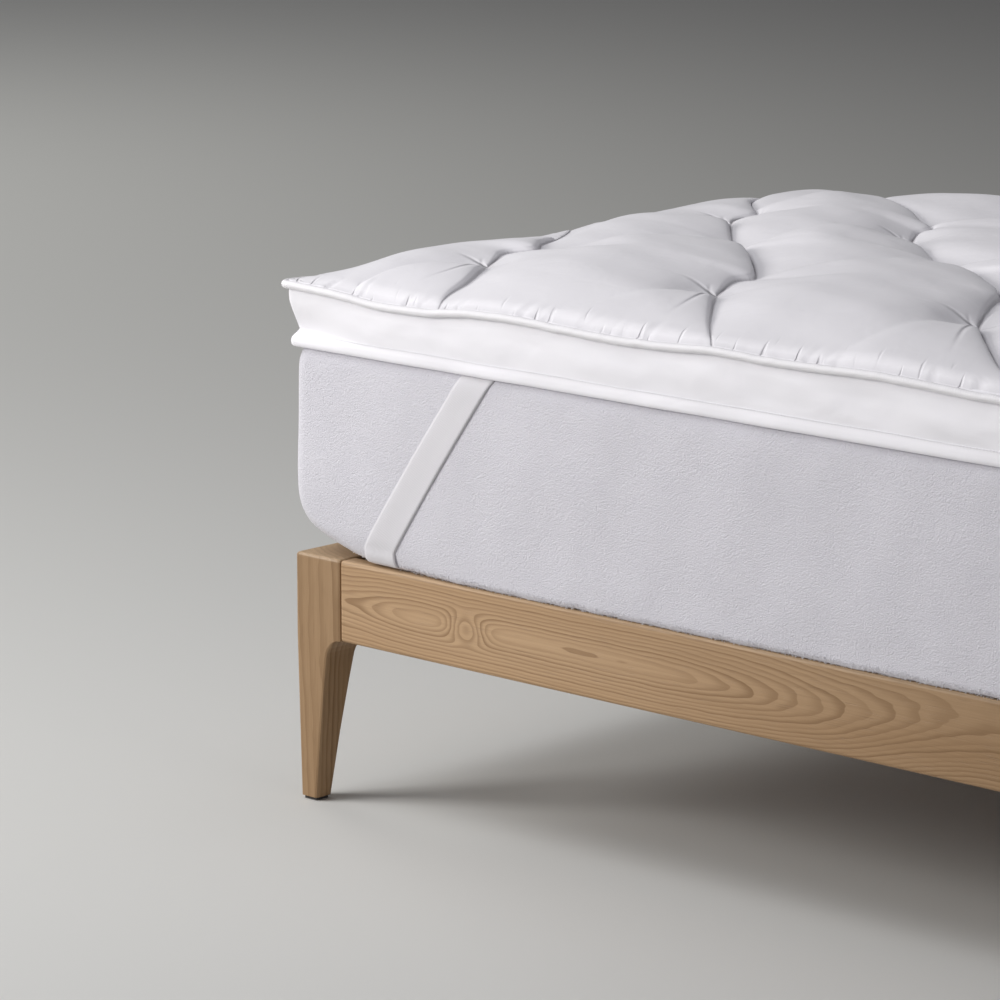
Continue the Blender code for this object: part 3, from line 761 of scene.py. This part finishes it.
def quilt_relief(column, row, y):
    """Height of the puffs above the shoulders' base, from places in the pattern.

    Round backs between the seams of one direction, cut by the shallower seams of the other.
    Those leave the seam on their left beyond its tuft, and each puff is fullest just before
    them. They are deep beside the seams they meet and where ACROSS_DEPTH says so. The puffs
    are pulled down by a bell of the distance from each tuft.
    """
    seam = column + row
    panel = np.floor(seam / 2)
    share = seam / 2 - panel
    start = panel - (column - row) / 2
    moved = start - TIP_LIFT * (1 - share) * np.cos(math.pi / 2 * (start - 0.25)) ** 2
    up = moved - np.floor(moved)
    slope = 1 - (1 - np.minimum(up / PUFF_PEAK, 1.0)) ** 2
    drop = 1 - (1 - np.minimum((1 - up) / (1 - PUFF_PEAK), 1.0)) ** 2

    first = np.abs(np.sin(math.pi * seam / 2))
    depth = 0.0
    for number, knots in enumerate(ACROSS_DEPTH):
        depth = depth + through(knots, y) * (np.clip(panel + 1, 0, 3) == number)
    depth = depth + (TUFT_DEPTH - depth) * (1 - first) ** 4
    depth = depth + EDGE_DEPTH * bell((HALF_WIDTH - np.abs(y)) / 0.05) * (1 - depth)

    left = FLANK_FRONT + (FLANK_FAR - FLANK_FRONT) * smooth_step((y + 0.05) / 0.3)
    sharp = left + (FLANK_RIGHT - left) * smooth_step((share - 0.3) / 0.35)
    loose = LOOSE * smooth_step((y - 0.15) / 0.2) * bell((seam - LOOSE_SEAM) / 0.8)
    puff = (loose + (1 - loose) * first ** sharp) * (1 - depth * (1 - slope * drop))

    node_seam = 2 * np.round(seam / 2)
    node_row = 2 * np.round((row - (seam - node_seam) / 2) / 2)
    beside = (seam - node_seam - (row - node_row)) * STEP_X
    dimple = bell(np.hypot(beside + DIMPLE_ASIDE, (row - node_row) * STEP_Y) / DIMPLE_REACH)
    crossing = np.sin(math.pi * (column - row) / 2)
    between = 1 - (1 - first * first) * (1 - crossing * crossing)
    return SEAM_RISE * between + (PUFF_RISE - TUFT_DIMPLE * dimple) * puff


def pattern_lines(low, high, cells):
    """Mesh lines through whole numbers of the pattern, and the two edges."""
    first, last = math.ceil(low * cells + 0.4), math.floor(high * cells - 0.4)
    return np.concatenate(([low], np.arange(first, last + 1) / cells, [high]))


def make_quilted_top(finish):
    """Top panel as a grid on the pattern, closed underneath behind the gusset."""
    lines_x = pattern_lines(COLUMN_LOW, COLUMN_HIGH, CELLS)
    lines_y = pattern_lines(ROW_LOW, ROW_HIGH, CELLS)
    column, row = np.meshgrid(lines_x, lines_y)
    x, y = pattern_place(column, row)
    crown = (1 - (x / HALF_LENGTH) ** 2) * (1 - (y / HALF_WIDTH) ** 2)
    rise = (NODE_RISE - PIPING_RADIUS + quilt_relief(column, row, y)
            + ripples(x, y, 0.11, 3) * 0.001)
    z = (edge_height(x, y) + PIPING_RADIUS + rise * shoulder(x, y) + CROWN * crown
         + edge_gathers(x, y))
    x, y = corner_drawn(x, y, RIM_OUT)
    points = np.stack((x, y, z), axis=-1).reshape(-1, 3)
    index = np.arange(x.size).reshape(x.shape)
    four = np.stack((index[:-1, :-1], index[:-1, 1:], index[1:, 1:], index[1:, :-1]), axis=-1)
    cells = [np.floor((lines[:-1, :-1] + lines[1:, 1:]) / 2) for lines in (column, row)]
    upward = (cells[0] + cells[1])[..., None] % 2 == 0
    faces = []
    for one, other in (([0, 1, 2], [0, 1, 3]), ([0, 2, 3], [1, 2, 3])):
        faces += np.where(upward, four[..., one], four[..., other]).reshape(-1, 3).tolist()
    rim = np.concatenate((index[0, :-1], index[:-1, -1], index[-1, :0:-1], index[:0:-1, 0]))
    under = np.array(points[rim])
    under[:, 2] -= SKIRT
    under[:, :2] *= 0.996
    lower = len(points) + np.arange(len(rim))
    skirt = np.stack((rim, lower, np.roll(lower, -1), np.roll(rim, -1)), axis=-1)
    faces += skirt.tolist() + [lower[::-1].tolist()]
    maps = np.stack((column, row), axis=-1).reshape(-1, 2)
    maps = np.concatenate((maps, maps[rim]))
    piece = add_piece("quilted_top", np.concatenate((points, under)), faces, finish,
                      maps)
    return piece


# ---------------------------------------------------------------- gusset, hem and piping
def gusset_ring(side_out, corner_out, arc, pieces_x, pieces_y):
    """Places round the topper's side, as outline() gives them, for rows of a profile.

    The first profile holds along the sides and the second at the corners, with a bell of the
    distance from the corner between them.
    """
    radius = side_out + TOPPER_CORNER - PIPING_OVERHANG + GUSSET_ROUND
    x, y, out_x, out_y = outline(side_out, radius, arc, pieces_x, pieces_y)
    near = bell(np.hypot(*from_edges(x, y)) / PINCH_REACH)
    move = (corner_out - side_out) * near
    return x + out_x * move, y + out_y * move, out_x, out_y


def make_gusset(finish):
    """Side of the topper: a profile from behind the piping down to the hem, carried round.

    The profile's points are joined by smooth cubics, and soft waves move it in and out.
    """
    fine = np.linspace(0, len(GUSSET_UP) - 1, 3 * (len(GUSSET_UP) - 1) + 1)
    side_out, corner_out, up, wave = (eased(values, fine)[:, None] for values in
                                      (SIDE_OUT, CORNER_OUT, GUSSET_UP, GUSSET_WAVE))
    x, y, out_x, out_y = gusset_ring(side_out, corner_out, 12, 420, 190)
    band = smooth_step((up - 0.012) / 0.02) * smooth_step((0.064 - up) / 0.02)
    swell = ripples(x + y, up * 1.6, 0.10, 11) * 0.0012 * band
    swell = swell + ripples(x - y, up * 1.2, 0.035, 12) * 0.0003 * band
    swell = swell + ripples(x + y, x - y, 0.12, 13) * 0.0006 * (1 - smooth_step(up / 0.016))
    z = TOPPER_BOTTOM + up + (edge_height(x, y) - PIPING_Z) * wave
    points = np.stack((x + out_x * swell, y + out_y * swell, z + 0 * x), axis=-1)
    faces = [face[::-1] for face in closed_faces(*points.shape[:2])]
    piece = add_piece("gusset", points, faces, finish)
    return piece


def tube(path, radius, sides):
    """Closed tube round a loop of points: circles set square to the path, upright first."""
    ahead = np.roll(path, -1, axis=0) - np.roll(path, 1, axis=0)
    ahead /= np.linalg.norm(ahead, axis=1)[:, None]
    side = np.stack((ahead[:, 1], -ahead[:, 0], 0 * ahead[:, 0]), axis=-1)
    side /= np.linalg.norm(side, axis=1)[:, None]
    upright = np.cross(side, ahead)
    angle = 2 * math.pi * np.arange(sides) / sides
    circle = (np.cos(angle)[None, :, None] * side[:, None, :]
              + np.sin(angle)[None, :, None] * upright[:, None, :])
    return path[:, None, :] + radius[:, None, None] * circle


def make_piping(finish):
    """Corded edge: a tube along the top edge's waving line, its radius waving slightly."""
    x, y, _, _ = outline(PIPING_OVERHANG, TOPPER_CORNER, 14, 440, 200)
    z = edge_height(x, y) + ripples(x + y, x - y, 0.03, 21) * 0.0002
    path = np.stack((x, y, z), axis=-1)
    radius = CORD_RADIUS + 0.00012 * ripples(x + y, x - y, 0.02, 22)
    points = tube(path, radius, CORD_SIDES)
    step = np.linalg.norm(np.roll(path, -1, axis=0) - path, axis=1)
    along = np.concatenate(([0.0], np.cumsum(step)[:-1]))
    around = np.broadcast_to(np.arange(CORD_SIDES) / CORD_SIDES, points.shape[:2])
    maps = np.stack((np.broadcast_to(along[:, None], around.shape), around), axis=-1)
    faces = [face[::-1] for face in ring_faces(len(path), CORD_SIDES, loop=True)]
    return add_piece("piping_cord", points, faces, finish, maps)


# ---------------------------------------------------------------- mattress cover and straps
def mattress_level(share):
    """Height, side offset and corner radius at a share of the way up the mattress."""
    height = share * MATTRESS_THICK
    offset = MATTRESS_BULGE * np.sqrt(np.sin(math.pi * (0.06 + 0.84 * share)))
    low = np.maximum(1 - height / MATTRESS_EDGE, 0.0)
    offset = offset - MATTRESS_EDGE * (1 - np.sqrt(1 - low * low))
    high = np.maximum(1 - (MATTRESS_THICK - height) / TOP_EDGE_REACH, 0.0)
    offset = offset - TOP_EDGE_DRAW * high ** 3
    radius = MATTRESS_CORNER + CORNER_SPREAD * np.maximum(1 - height / SPREAD_HEIGHT, 0.0) ** 3
    return MATTRESS_BOTTOM + height, offset, radius


def corner_tuck(from_corner, height):
    """How far the cover's lower edge is drawn in near a corner: a larger round there."""
    low = np.clip(1 - (height - MATTRESS_BOTTOM) / TUCK, 0.0, 1.0)
    return TUCK * (1 - np.sqrt(1 - low * low)) * bell(from_corner / TUCK_REACH)


def mattress_face(inward, height):
    """How far the mattress's side stands out at a distance in from a corner."""
    share = np.clip((height - MATTRESS_BOTTOM) / MATTRESS_THICK, 0.0, 1.0)
    _, offset, radius = mattress_level(share)
    within = np.maximum(radius - (inward + offset), 0.0)
    offset = offset - (radius - np.sqrt(np.maximum(radius * radius - within * within, 0.0)))
    return offset - corner_tuck(inward, height)


def cover_places(share, arc, pieces_x, pieces_y):
    """Places and the way out round the cover, as outline() gives them, and their heights."""
    height, offset, radius = mattress_level(share)
    x, y, out_x, out_y = outline(offset, radius, arc, pieces_x, pieces_y)
    tuck = corner_tuck(np.hypot(*from_edges(x, y)), height)
    height = height - RAIL_SINK * (1 - smooth_step(share / 0.12)) + 0 * x
    return x - out_x * tuck, y - out_y * tuck, out_x, out_y, height


def cover_swell(x, y, height):
    """How far the cover swells out at a place: soft waves that die out at its edges."""
    share = (height - MATTRESS_BOTTOM) / MATTRESS_THICK
    middle = smooth_step(share / 0.15) * smooth_step((1 - share) / 0.1)
    return ripples(x + y, height * 1.5, 0.16, 31) * 0.0011 * middle


def make_mattress_cover(finish):
    """Mattress in its cover: rounded outlines stacked up, closed over the top and under.

    Each level's outline is mattress_level's, drawn in by corner_tuck and moved by the swell.
    """
    grow = np.linspace(0, 1, 13)[1:]
    low = MATTRESS_EDGE / MATTRESS_THICK * (1 - np.cos(math.pi / 2 * grow))
    high = 1 - TOP_EDGE_REACH / MATTRESS_THICK * (1 - np.sin(math.pi / 2 * grow))
    share = np.concatenate(([0.0], low, np.linspace(low[-1], high[0], 42)[1:-1], high))
    x, y, out_x, out_y, height = cover_places(share[:, None], 16, 330, 150)
    swell = cover_swell(x, y, height)
    height = height - ripples(x + y, x - y, 0.07, 32) * 0.0006 * (share[:, None] < 0.12)
    points = np.stack((x + out_x * swell, y + out_y * swell, height), axis=-1)
    under = np.array(points[0])
    under[:, :2] *= 1 - UNDER_INSET / np.maximum(np.abs(under[:, :2]), 0.2)
    under[:, 2] = MATTRESS_BOTTOM - 0.0002
    points = np.concatenate((under[None], points))
    faces = closed_faces(*points.shape[:2])
    piece = add_piece("mattress_cover", points, faces, finish)
    return piece


def make_pile_fringe(finish):
    """Loops of the pile that stand out along the cover's lower edge, over the rails.

    Each is a small three-sided horn: rings at three places of a curve that leaves the cloth
    at a seeded angle and sinks with the square of the way along it.
    """
    chance = np.random.default_rng(51)
    share = PILE_HEIGHT * chance.random((14, 1)) ** 1.5 / MATTRESS_THICK
    x, y, out_x, out_y, height = (part.ravel() for part in cover_places(share, 14, 170, 80))
    count = len(x)
    drift, slip, turn = chance.uniform(-1, 1, (3, count)) * np.array([[0.007], [0.9], [0.7]])
    way = np.stack((out_x - out_y * slip, out_y + out_x * slip, turn - 0.1), axis=-1)
    way /= np.linalg.norm(way, axis=1)[:, None]
    along = np.array((-0.3, 0.5, 1.0))[None, :, None]
    length = chance.uniform(0.0006, 0.0020, count)[:, None, None]
    start = np.stack((x - out_y * drift, y + out_x * drift, height), axis=-1)
    centre = start[:, None] + way[:, None] * along * length
    centre[..., 2] -= (0.35 * length * along * along)[..., 0]
    side = np.cross(way, (0.0, 0.0, 1.0))
    side /= np.linalg.norm(side, axis=1)[:, None]
    size = np.array((0.0005, 0.00045, 0.0002))
    points, faces = small_bars(centre, size, side, np.cross(side, way), 3)
    return add_piece("pile_fringe", points, faces, finish)


def strap_sheet(sign_x, sign_y):
    """Middle of a strap's cloth as a grid: across the band, then along it.

    Each half slants down a side of the mattress and turns under it in a quarter circle. It
    lies on the cover's surface, and its edge away from the corner stands off a little.
    """
    across = np.linspace(-0.5, 0.5, 13)[None, :]
    high, low = TOPPER_BOTTOM - 0.0006, MATTRESS_BOTTOM - 0.0008
    height = np.linspace(high, low + STRAP_TURN, 46)[:, None]
    middle = STRAP_FOOT + (STRAP_TOP - STRAP_FOOT) * (height - low) / (high - low)
    inward = middle + across * STRAP_WIDTH
    stand = STRAP_STAND + STRAP_LIFT * smooth_step((across - 0.1) / 0.4)
    depth = mattress_face(inward, height) + stand
    angle = (math.pi / 2 * np.arange(1, 9) / 8)[:, None]
    turn_in = 0.010 * (1 - np.cos(angle))
    under = low + STRAP_TURN * (1 - np.sin(angle))
    inward_low = inward[-1:] + 0 * turn_in
    depth_low = depth[-1:] - turn_in - 0.004 * (angle / (math.pi / 2)) ** 3
    run = np.concatenate((inward, inward_low))
    out = np.concatenate((depth + 0 * inward, depth_low))
    z = np.concatenate((height + 0 * inward, under + 0 * inward_low))
    one = np.stack((run, -out, z), axis=-1)
    other = np.stack((-out, run, z), axis=-1)[::-1]
    sheet = np.concatenate((one, other))
    sheet[..., 0] = sign_x * (HALF_LENGTH - sheet[..., 0])
    sheet[..., 1] = sign_y * (HALF_WIDTH - sheet[..., 1])
    swell = cover_swell(sheet[..., 0], sheet[..., 1], sheet[..., 2])
    half = len(one)
    sheet[:half, :, 1] += sign_y * swell[:half]
    sheet[half:, :, 0] += sign_x * swell[half:]
    return sheet


def make_strap(name, sign_x, sign_y, finish):
    """Elastic band: its middle sheet thickened to both sides, and thin beside the corner.

    The way out is the cross product of the sheet's slopes along and across the band.
    """
    sheet = strap_sheet(sign_x, sign_y)
    along = np.gradient(sheet, axis=0)
    across = np.gradient(sheet, axis=1)
    normal = np.cross(along, across) * sign_x * sign_y
    normal /= np.maximum(np.linalg.norm(normal, axis=-1, keepdims=True), 1e-12)
    outer = smooth_step((-0.3 - np.linspace(-0.5, 0.5, sheet.shape[1])) / 0.2)[None, :, None]
    thick = STRAP_THICK * (1 - STRAP_THINNED * outer)
    face = sheet + normal * (thick - STRAP_THICK / 2)
    back = sheet - normal * STRAP_THICK / 2
    rings = np.concatenate((face, back[:, ::-1]), axis=1)
    rows, count = rings.shape[:2]
    step = np.linalg.norm(np.diff(sheet[:, 6], axis=0), axis=1)
    run = np.concatenate(([0.0], np.cumsum(step)))
    wide = np.linspace(0, 0.041, sheet.shape[1])
    around = np.concatenate((wide, wide[::-1]))
    maps = np.stack((np.broadcast_to(around[None, :], (rows, count)),
                     np.broadcast_to(run[:, None], (rows, count))), axis=-1)
    faces = closed_faces(rows, count)
    if sign_x * sign_y > 0:
        faces = [face[::-1] for face in faces]
    piece = add_piece(name, rings, faces, finish, maps)
    return piece


def make_hem_stitches(finish):
    """Topstitching round the hem: small six-sided bars, each bowed out of the cloth."""
    x, y, out_x, out_y = gusset_ring(SIDE_OUT[TOPSTITCH] + 0.0002,
                                     CORNER_OUT[TOPSTITCH] + 0.0002, 4, 470, 210)
    z = TOPPER_BOTTOM + GUSSET_UP[TOPSTITCH] + ripples(x + y, x - y, 0.2, 41) * 0.0003
    start = np.stack((x, y, z), axis=-1)
    step = np.roll(start, -1, axis=0) - start
    stations = np.array((0.0, 0.2, 0.5, 0.8, 1.0)) * THREAD_SHARE
    bow = np.array((-0.6, 0.3, 0.7, 0.3, -0.6)) * THREAD_THICK
    size = np.array((0.5, 0.9, 1.0, 0.9, 0.5)) * THREAD_THICK
    way_out = np.stack((out_x, out_y, 0 * out_x), axis=-1)
    centre = (start[:, None] + step[:, None] * stations[None, :, None]
              + way_out[:, None] * bow[None, :, None])
    upright = np.broadcast_to((0.0, 0.0, 1.0), way_out.shape)
    points, faces = small_bars(centre, size, way_out, upright, 6)
    return add_piece("hem_stitches", points, faces, finish)


# ---------------------------------------------------------------- stage
def make_stage(finish):
    """The floor: a disc of 64 sides, far wider than the picture."""
    angle = 2 * math.pi * np.arange(64) / 64
    points = np.stack((26 * np.cos(angle), 26 * np.sin(angle), 0 * angle), axis=-1)
    mesh = bpy.data.meshes.new("floor")
    mesh.from_pydata(points.tolist(), [], [list(range(64))])
    mesh.materials.append(finish)
    floor = put("floor", mesh)


def add_light(name, place, target, size, power, colour):
    """Square soft light that looks at a target."""
    lamp = bpy.data.lights.new(name, "AREA")
    lamp.shape = "RECTANGLE"
    lamp.size, lamp.size_y = size
    lamp.energy = power
    lamp.color = colour
    aim(put(name, lamp), place, target)


def aim(thing, place, target):
    """Stand a camera or light at a place, looking at a target, upright."""
    ahead = np.array(target) - np.array(place)
    ahead = ahead / np.linalg.norm(ahead)
    side = np.cross(ahead, (0.0, 0.0, 1.0))
    side = side / np.linalg.norm(side)
    upright = np.cross(side, ahead)
    turned = np.eye(4)
    turned[:3, 0], turned[:3, 1], turned[:3, 2], turned[:3, 3] = side, upright, -ahead, place
    thing.matrix_world = Matrix(turned.tolist())


def place_camera():
    """The photograph's view: 43 degrees off the bed's end and 12 degrees down."""
    lens = bpy.data.cameras.new("view")
    lens.lens = 173.37
    lens.sensor_width = 36.0
    lens.shift_x = 0.0036
    lens.clip_end = 100.0
    camera = put("view", lens)
    turn, down = math.radians(43.258), math.radians(11.969)
    place = np.array((2.933, -4.288, 1.523))
    ahead = np.array((-math.sin(turn) * math.cos(down), math.cos(turn) * math.cos(down),
                      -math.sin(down)))
    aim(camera, place, place + ahead)
    bpy.context.scene.camera = camera


def set_light():
    """A dim room, a large key light from the left, and three softer ones."""
    scene = bpy.context.scene
    scene.view_settings.view_transform = "Standard"
    scene.world = bpy.data.worlds.new("room")
    scene.world.use_nodes = True
    room = scene.world.node_tree.nodes["Background"]
    room.inputs["Color"].default_value = (0.95, 0.95, 1.0, 1.0)
    room.inputs["Strength"].default_value = 0.155
    add_light("key", (-4.0, -3.8, 2.3), (-0.5, -0.35, 0.40), (2.2, 1.8), 173.0,
              (1.0, 0.985, 0.965))
    add_light("overhead", (-1.8, -1.7, 3.3), (-0.6, -0.2, 0.6), (1.8, 1.8), 52.0,
              (0.98, 0.98, 1.0))
    add_light("fill", (4.0, -1.2, 1.0), (-0.9, -0.4, 0.15), (1.6, 1.2), 19.0,
              (1.0, 0.98, 0.97))
    add_light("background", (-6.4, 1.6, 3.6), (-6.0, 2.0, 0.0), (2.4, 2.4), 66.0,
              (1.0, 1.0, 0.96))


# ---------------------------------------------------------------- the whole object
def dress_frame():
    """Give the bed's wooden parts their grain and the foot pads their felt."""
    front = make_ash("ash rail", 0, (0.458, 0.251), ((-0.46, 0.04, 0.046, 0.0),
                     (-0.22, 0.03, 0.0, 0.028), (-0.80, -0.93, 0.012, 0.0)), 0.0041, 1.0,
                     knot=(-0.726, 0.250))
    back = make_ash("ash far rail", 0, (0.460, 0.240), ((0.2, -0.4, 0.05, 0.02),
                    (0.5, 0.8, 0.03, 0.0)), 0.0043, 7.0)
    ends = make_ash("ash end rail", 1, (1.010, 0.246), ((-0.1, 0.35, 0.04, 0.01),
                    (-0.15, -0.42, 0.03, 0.0)), 0.0043, 4.0)
    posts = make_ash("ash post", 2, (0.90, 0.31), ((0.05, 0.30, 0.012, 0.0),), 0.0075, 9.0)
    across = make_ash("ash slat", 1, (0.03, 0.20), ((-0.2, 0.3, 0.03, 0.0),), 0.0050, 12.0)
    finishes = (("side_rail_front", front), ("side_rail", back), ("ledger", back),
                ("end_rail", ends), ("post", posts), ("slat", across), ("foot_pad", make_felt()))
    for name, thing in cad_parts.items():
        finish = next((one for start, one in finishes if name.startswith(start)), None)
        if finish is not None:
            for slot in thing.material_slots:
                slot.material = finish


def build():
    """Make every piece in turn, and hide the solid that each takes the place of."""
    top = make_quilted_top(make_quilted_cotton())
    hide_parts("topper")
    cotton = make_gusset_cotton()
    gusset = make_gusset(cotton)
    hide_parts("topper")
    piping = make_piping(make_piping_cotton())
    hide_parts("piping")
    make_hem_stitches(cotton)
    terry = make_terry()
    cover = make_mattress_cover(terry)
    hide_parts("mattress")
    make_pile_fringe(make_pile_painted_lighter())
    elastic = make_elastic()
    for end, sign_x in (("foot", -1), ("head", 1)):
        for side, sign_y in (("front", -1), ("back", 1)):
            name = f"strap_{end}_{side}"
            strap = make_strap(f"band_{end}_{side}", sign_x, sign_y, elastic)
            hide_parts(name)
    dress_frame()
    make_stage(make_floor())
    set_light()
    place_camera()


build()
